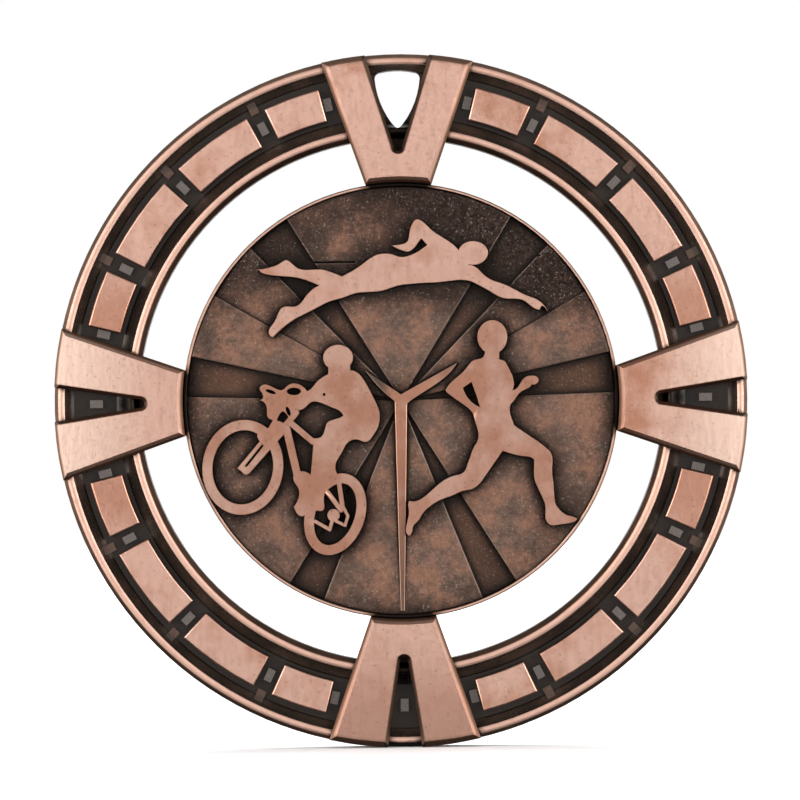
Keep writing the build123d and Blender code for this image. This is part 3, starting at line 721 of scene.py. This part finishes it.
# a painted highlight on the edges between facets
FACET_EDGE_HIGHLIGHT = (0.46, 0.33, 0.27, 1)
# black wash and a painted shadow at the foot of walls and round the figures
WASH_AND_SHADOW_BLACK = (0.009, 0.007, 0.006, 1)


def facet_edge_highlights(tree, place, corners):
    """1 on the edges between facets, where a highlight is painted, less on the disc's own rim."""
    rim = ramp(tree, place["Radius"], DISC_R - 0.7, DISC_R - 0.5)
    return times(tree, corners["Edge"], minus(tree, 0.7, times(tree, rim, 0.3)))


def disc_material():
    material, tree, place, corners = start_material("sand-cast copper", 2.4, edge_width=0.26)
    point = point_in_mm(tree)
    mottle, sand = noise(tree, point, 2.2, 5.0, 0.72), noise(tree, point, 4.2, 3.0, 0.65)
    clouds = noise(tree, point, 0.34, 4.0, 0.6)
    # rubbed is lighter where the wheel touched and away from the painted shade of the corners
    rubbed = ramp(tree, disc_hollow(tree, place, corners["Corner"], mottle, clouds), 0.30, -0.16)
    sunk = ramp(tree, place["Height"], 1.60, 1.48)
    dark = mix_colour(tree, ramp(tree, mottle, 0.4, 0.65), *PIT_BLACKS)
    light = mix_colour(tree, ramp(tree, clouds, 0.38, 0.62), *FACET_COPPERS)
    light = mix_colour(tree, sunk, light, RAY_BROWN)
    colour = mix_colour(tree, rubbed, dark, light)
    colour = mix_colour(tree, times(tree, ramp(tree, sand, 0.58, 0.70), 0.42), colour, GRAIN_GREY)
    # the painted highlight on the facet edges
    colour = mix_colour(tree, facet_edge_highlights(tree, place, corners), colour, FACET_EDGE_HIGHLIGHT)
    wall = plus(tree, corners["Corner"], times(tree, sunk, 0.11))
    # the black line at the foot of each wall: wash and a painted shadow
    colour = mix_colour(tree, ramp(tree, wall, 0.20, 0.44), colour, WASH_AND_SHADOW_BLACK)
    relief = times(tree, plus(tree, sand, times(tree, mottle, 1.5)), 0.05)
    rough = map_range(tree, rubbed, {"To Min": 0.34, "To Max": 0.46})
    finish_material(material, colour, rough, relief, corners["Round"])
    return material


disc_metal = disc_material()

# %% [markdown]
# ## Softening the edges
#
# The drawn pieces meet in perfect corners, and light never catches such an edge. On the real
# medal every edge has a small radius from the die and the wheel. So each raised piece is copied,
# its loose triangles are merged into one skin, flat areas are dissolved back to single faces, and
# a Bevel modifier rounds what is left. The copy then stands for the drawn piece.

# %% Helpers: select, soften and dress a piece
def only(piece):
    """Makes this the one selected and active object."""
    bpy.ops.object.select_all(action="DESELECT")
    piece.select_set(True)
    bpy.context.view_layer.objects.active = piece


def merge_skin(piece):
    """Joins a drawn piece's loose triangles, and makes each flat area one face."""
    only(piece)
    bpy.ops.object.mode_set(mode="EDIT")
    bpy.ops.mesh.select_all(action="SELECT")
    bpy.ops.mesh.remove_doubles(threshold=0.002 * MM)
    bpy.ops.mesh.dissolve_limited(angle_limit=math.radians(2))
    bpy.ops.object.mode_set(mode="OBJECT")


def softened(node, radius, segments):
    """A copy of a drawn piece with its edges rounded."""
    only(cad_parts[node])
    bpy.ops.object.duplicate()
    piece = bpy.context.view_layer.objects.active
    piece.name = node + "_cast"
    merge_skin(piece)
    bevel = piece.modifiers.new("edge", "BEVEL")
    bevel.width = radius * MM
    bevel.segments = segments
    bevel.limit_method = "ANGLE"
    bevel.angle_limit = math.radians(28)
    bevel.miter_outer = "MITER_ARC"
    bpy.ops.object.modifier_apply(modifier=bevel.name)
    bpy.ops.object.shade_smooth_by_angle(angle=math.radians(40))
    # flat faces keep their own direction, and only the rounded edges are shaded as curves
    even = piece.modifiers.new("even", "WEIGHTED_NORMAL")
    even.keep_sharp = True
    even.weight = 100
    bpy.ops.object.modifier_apply(modifier=even.name)
    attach(piece, "root")
    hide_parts(node)
    return piece


def dress(piece, material):
    """Gives a piece its material and no other."""
    piece.data.materials.clear()
    piece.data.materials.append(material)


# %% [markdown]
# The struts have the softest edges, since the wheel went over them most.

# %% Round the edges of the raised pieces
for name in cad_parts:
    if name.startswith("strut"):
        radius, segments, metal, slot = 0.3, 4, strut_metal, "strut_metal"
    elif name.startswith("rim_tile"):
        radius, segments, metal, slot = 0.05, 2, tile_metal, "tile_metal"
    elif name == "swimmer":
        radius, segments, metal, slot = 0.08, 2, swimmer_metal, "figure_metal"
    elif name in ("runner", "cyclist"):
        radius, segments, metal, slot = 0.08, 2, figure_metal, "figure_metal"
    elif name == "y_divider":
        radius, segments, metal, slot = 0.08, 2, divider_metal, "divider_metal"
    else:
        continue
    piece = softened(name, radius, segments)
    dress(piece, metal)
    print(piece.name, "has", len(piece.data.polygons), "faces")

# %% [markdown]
# The ring's rails are round already, and the disc's facets meet at such flat angles that a bevel
# would not show. Both keep their drawn shape and only get their metal.

# %% Dress the ring and the disc
dress(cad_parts["ring_frame"], ring_metal)
dress(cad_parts["centre_disc"], disc_metal)
print("ring and disc keep their drawn shape")

# %% [markdown]
# ## Floor
#
# The medal stands on its rim on a wide pale floor, which is wide enough that its edge is never
# near. The floor takes shadows but isn't seen in reflections, so the undersides of the edges show
# the dark of the room and stay brown.

# %% Floor
FLOOR_SIZE = 1.6


def make_floor():
    bpy.ops.object.select_all(action="DESELECT")
    bpy.ops.mesh.primitive_plane_add(size=FLOOR_SIZE, location=(0, 0, cad_box[0][2]))
    floor = bpy.context.view_layer.objects.active
    floor.name = "floor"
    material = bpy.data.materials.new("pale floor")
    material.use_nodes = True
    shader = material.node_tree.nodes["Principled BSDF"]
    shader.inputs["Base Color"].default_value = (0.94, 0.94, 0.94, 1)
    shader.inputs["Roughness"].default_value = 0.9
    shader.inputs["Specular IOR Level"].default_value = 0.1
    floor.data.materials.append(material)
    floor.visible_glossy = False
    return floor


floor = make_floor()
print("floor at", round(floor.location.z / MM, 2), "mm")

# %% [markdown]
# ## Room
#
# A metal shows what is round it, so the room matters as much as the lamps. It is a light tent: a
# glow on the left and one on the right, dimmer ones at the sides and behind, a pale wall all
# round, and dark above and below. Edges that face sideways draw a bright line, and edges that face
# up or down stay brown. The camera itself sees plain white.

# %% Room
DARK_BELOW = (0.13, 0.13, 0.13, 1)
DARK_ABOVE = (0.30, 0.30, 0.30, 1)
WALL_GREY = (0.74, 0.74, 0.74, 1)
# each glow: its direction, how many degrees it reaches, and its brightness
GLOWS = (((-0.62, -0.78, 0.08), 28, 5.8), ((0.62, -0.78, 0.08), 28, 5.8),
         ((-1, -0.1, 0), 35, 1.5), ((1, -0.1, 0), 35, 1.5), ((0, 1, 0.4), 80, 0.5))


def glow(tree, toward, direction, width, strength):
    """A soft round patch of the wall, this way, fading out this many degrees from its middle."""
    aim = tuple(Vector(direction).normalized())
    facing = add_node(tree, "ShaderNodeVectorMath", {0: toward, 1: aim}, operation="DOT_PRODUCT")
    mask = ramp(tree, facing.outputs["Value"], math.cos(math.radians(width)), 1.0)
    return mix_colour(tree, mask, (0, 0, 0, 1), (strength, strength, strength, 1))


def make_room():
    world = bpy.data.worlds.new("studio")
    world.use_nodes = True
    bpy.context.scene.world = world
    tree = world.node_tree
    background = tree.nodes["Background"]
    toward = add_node(tree, "ShaderNodeTexCoord").outputs["Generated"]
    up = add_node(tree, "ShaderNodeSeparateXYZ", {0: toward}).outputs[2]
    wall = times(tree, ramp(tree, up, -0.52, -0.04), ramp(tree, up, 0.85, 0.2))
    light = mix_colour(tree, ramp(tree, up, -0.1, 0.3), DARK_BELOW, DARK_ABOVE)
    light = mix_colour(tree, wall, light, WALL_GREY)
    for direction, width, strength in GLOWS:
        light = mix_colour(tree, 1.0, light, glow(tree, toward, direction, width, strength), "ADD")
    tree.links.new(light, background.inputs["Color"])
    white = add_node(tree, "ShaderNodeBackground", {"Color": (1, 1, 1, 1), "Strength": 1.0})
    ray = add_node(tree, "ShaderNodeLightPath")
    shown = add_node(tree, "ShaderNodeMixShader",
                     {0: ray.outputs["Is Camera Ray"], 1: background.outputs[0], 2: white.outputs[0]})
    tree.links.new(shown.outputs[0], tree.nodes["World Output"].inputs["Surface"])


make_room()
print("room with", len(GLOWS), "glows")

# %% [markdown]
# ## Lamps
#
# Two softboxes stand in front at the left and the right. The ceiling lamp lights the floor only,
# which light linking allows: the floor turns white, and the medal isn't washed out from above.

# %% Lamps
SOFTBOX_PLACE = 0.42, -0.55, 0.08


def soft_lamp(name, place, size, watts):
    """A square area lamp aimed at the middle of the medal."""
    bpy.ops.object.light_add(type="AREA", location=place)
    lamp = bpy.context.view_layer.objects.active
    lamp.name = name
    lamp.data.shape = "SQUARE"
    lamp.data.size = size
    lamp.data.energy = watts
    lamp.rotation_euler = (-Vector(place)).to_track_quat("-Z", "Y").to_euler()
    return lamp


across, toward_front, height = SOFTBOX_PLACE
soft_lamp("left softbox", (-across, toward_front, height), 0.3, 1.0)
soft_lamp("right softbox", (across, toward_front, height), 0.3, 1.0)
ceiling = soft_lamp("ceiling", (0.0, 0.25, 0.8), 0.9, 11.0)
floor_only = bpy.data.collections.new("floor only")
floor_only.objects.link(floor)
ceiling.light_linking.receiver_collection = floor_only
bpy.context.scene.view_settings.view_transform = "Standard"
print("three lamps")

# %% [markdown]
# ## Camera
#
# The medal is seen square on and from far away with a long lens, so that the near and the far
# edges of the relief line up. It is turned by less than a degree, as a medal hangs a little
# crooked.

# %% Camera
LENS = 250.0
SENSOR = 36.0
VIEW_WIDTH = 80.6
ASIDE, RAISED = -0.1, 0.05
TURN = math.radians(0.7)


def make_camera():
    distance = VIEW_WIDTH * LENS / SENSOR
    bpy.ops.object.camera_add(location=(ASIDE * MM, -(distance + FACE_TOP) * MM, RAISED * MM),
                              rotation=(math.radians(90), TURN, 0))
    camera = bpy.context.view_layer.objects.active
    camera.data.lens = LENS
    camera.data.sensor_width = SENSOR
    camera.data.clip_end = 10
    bpy.context.scene.camera = camera
    return distance


print("camera", round(make_camera()), "mm from the medal's front")
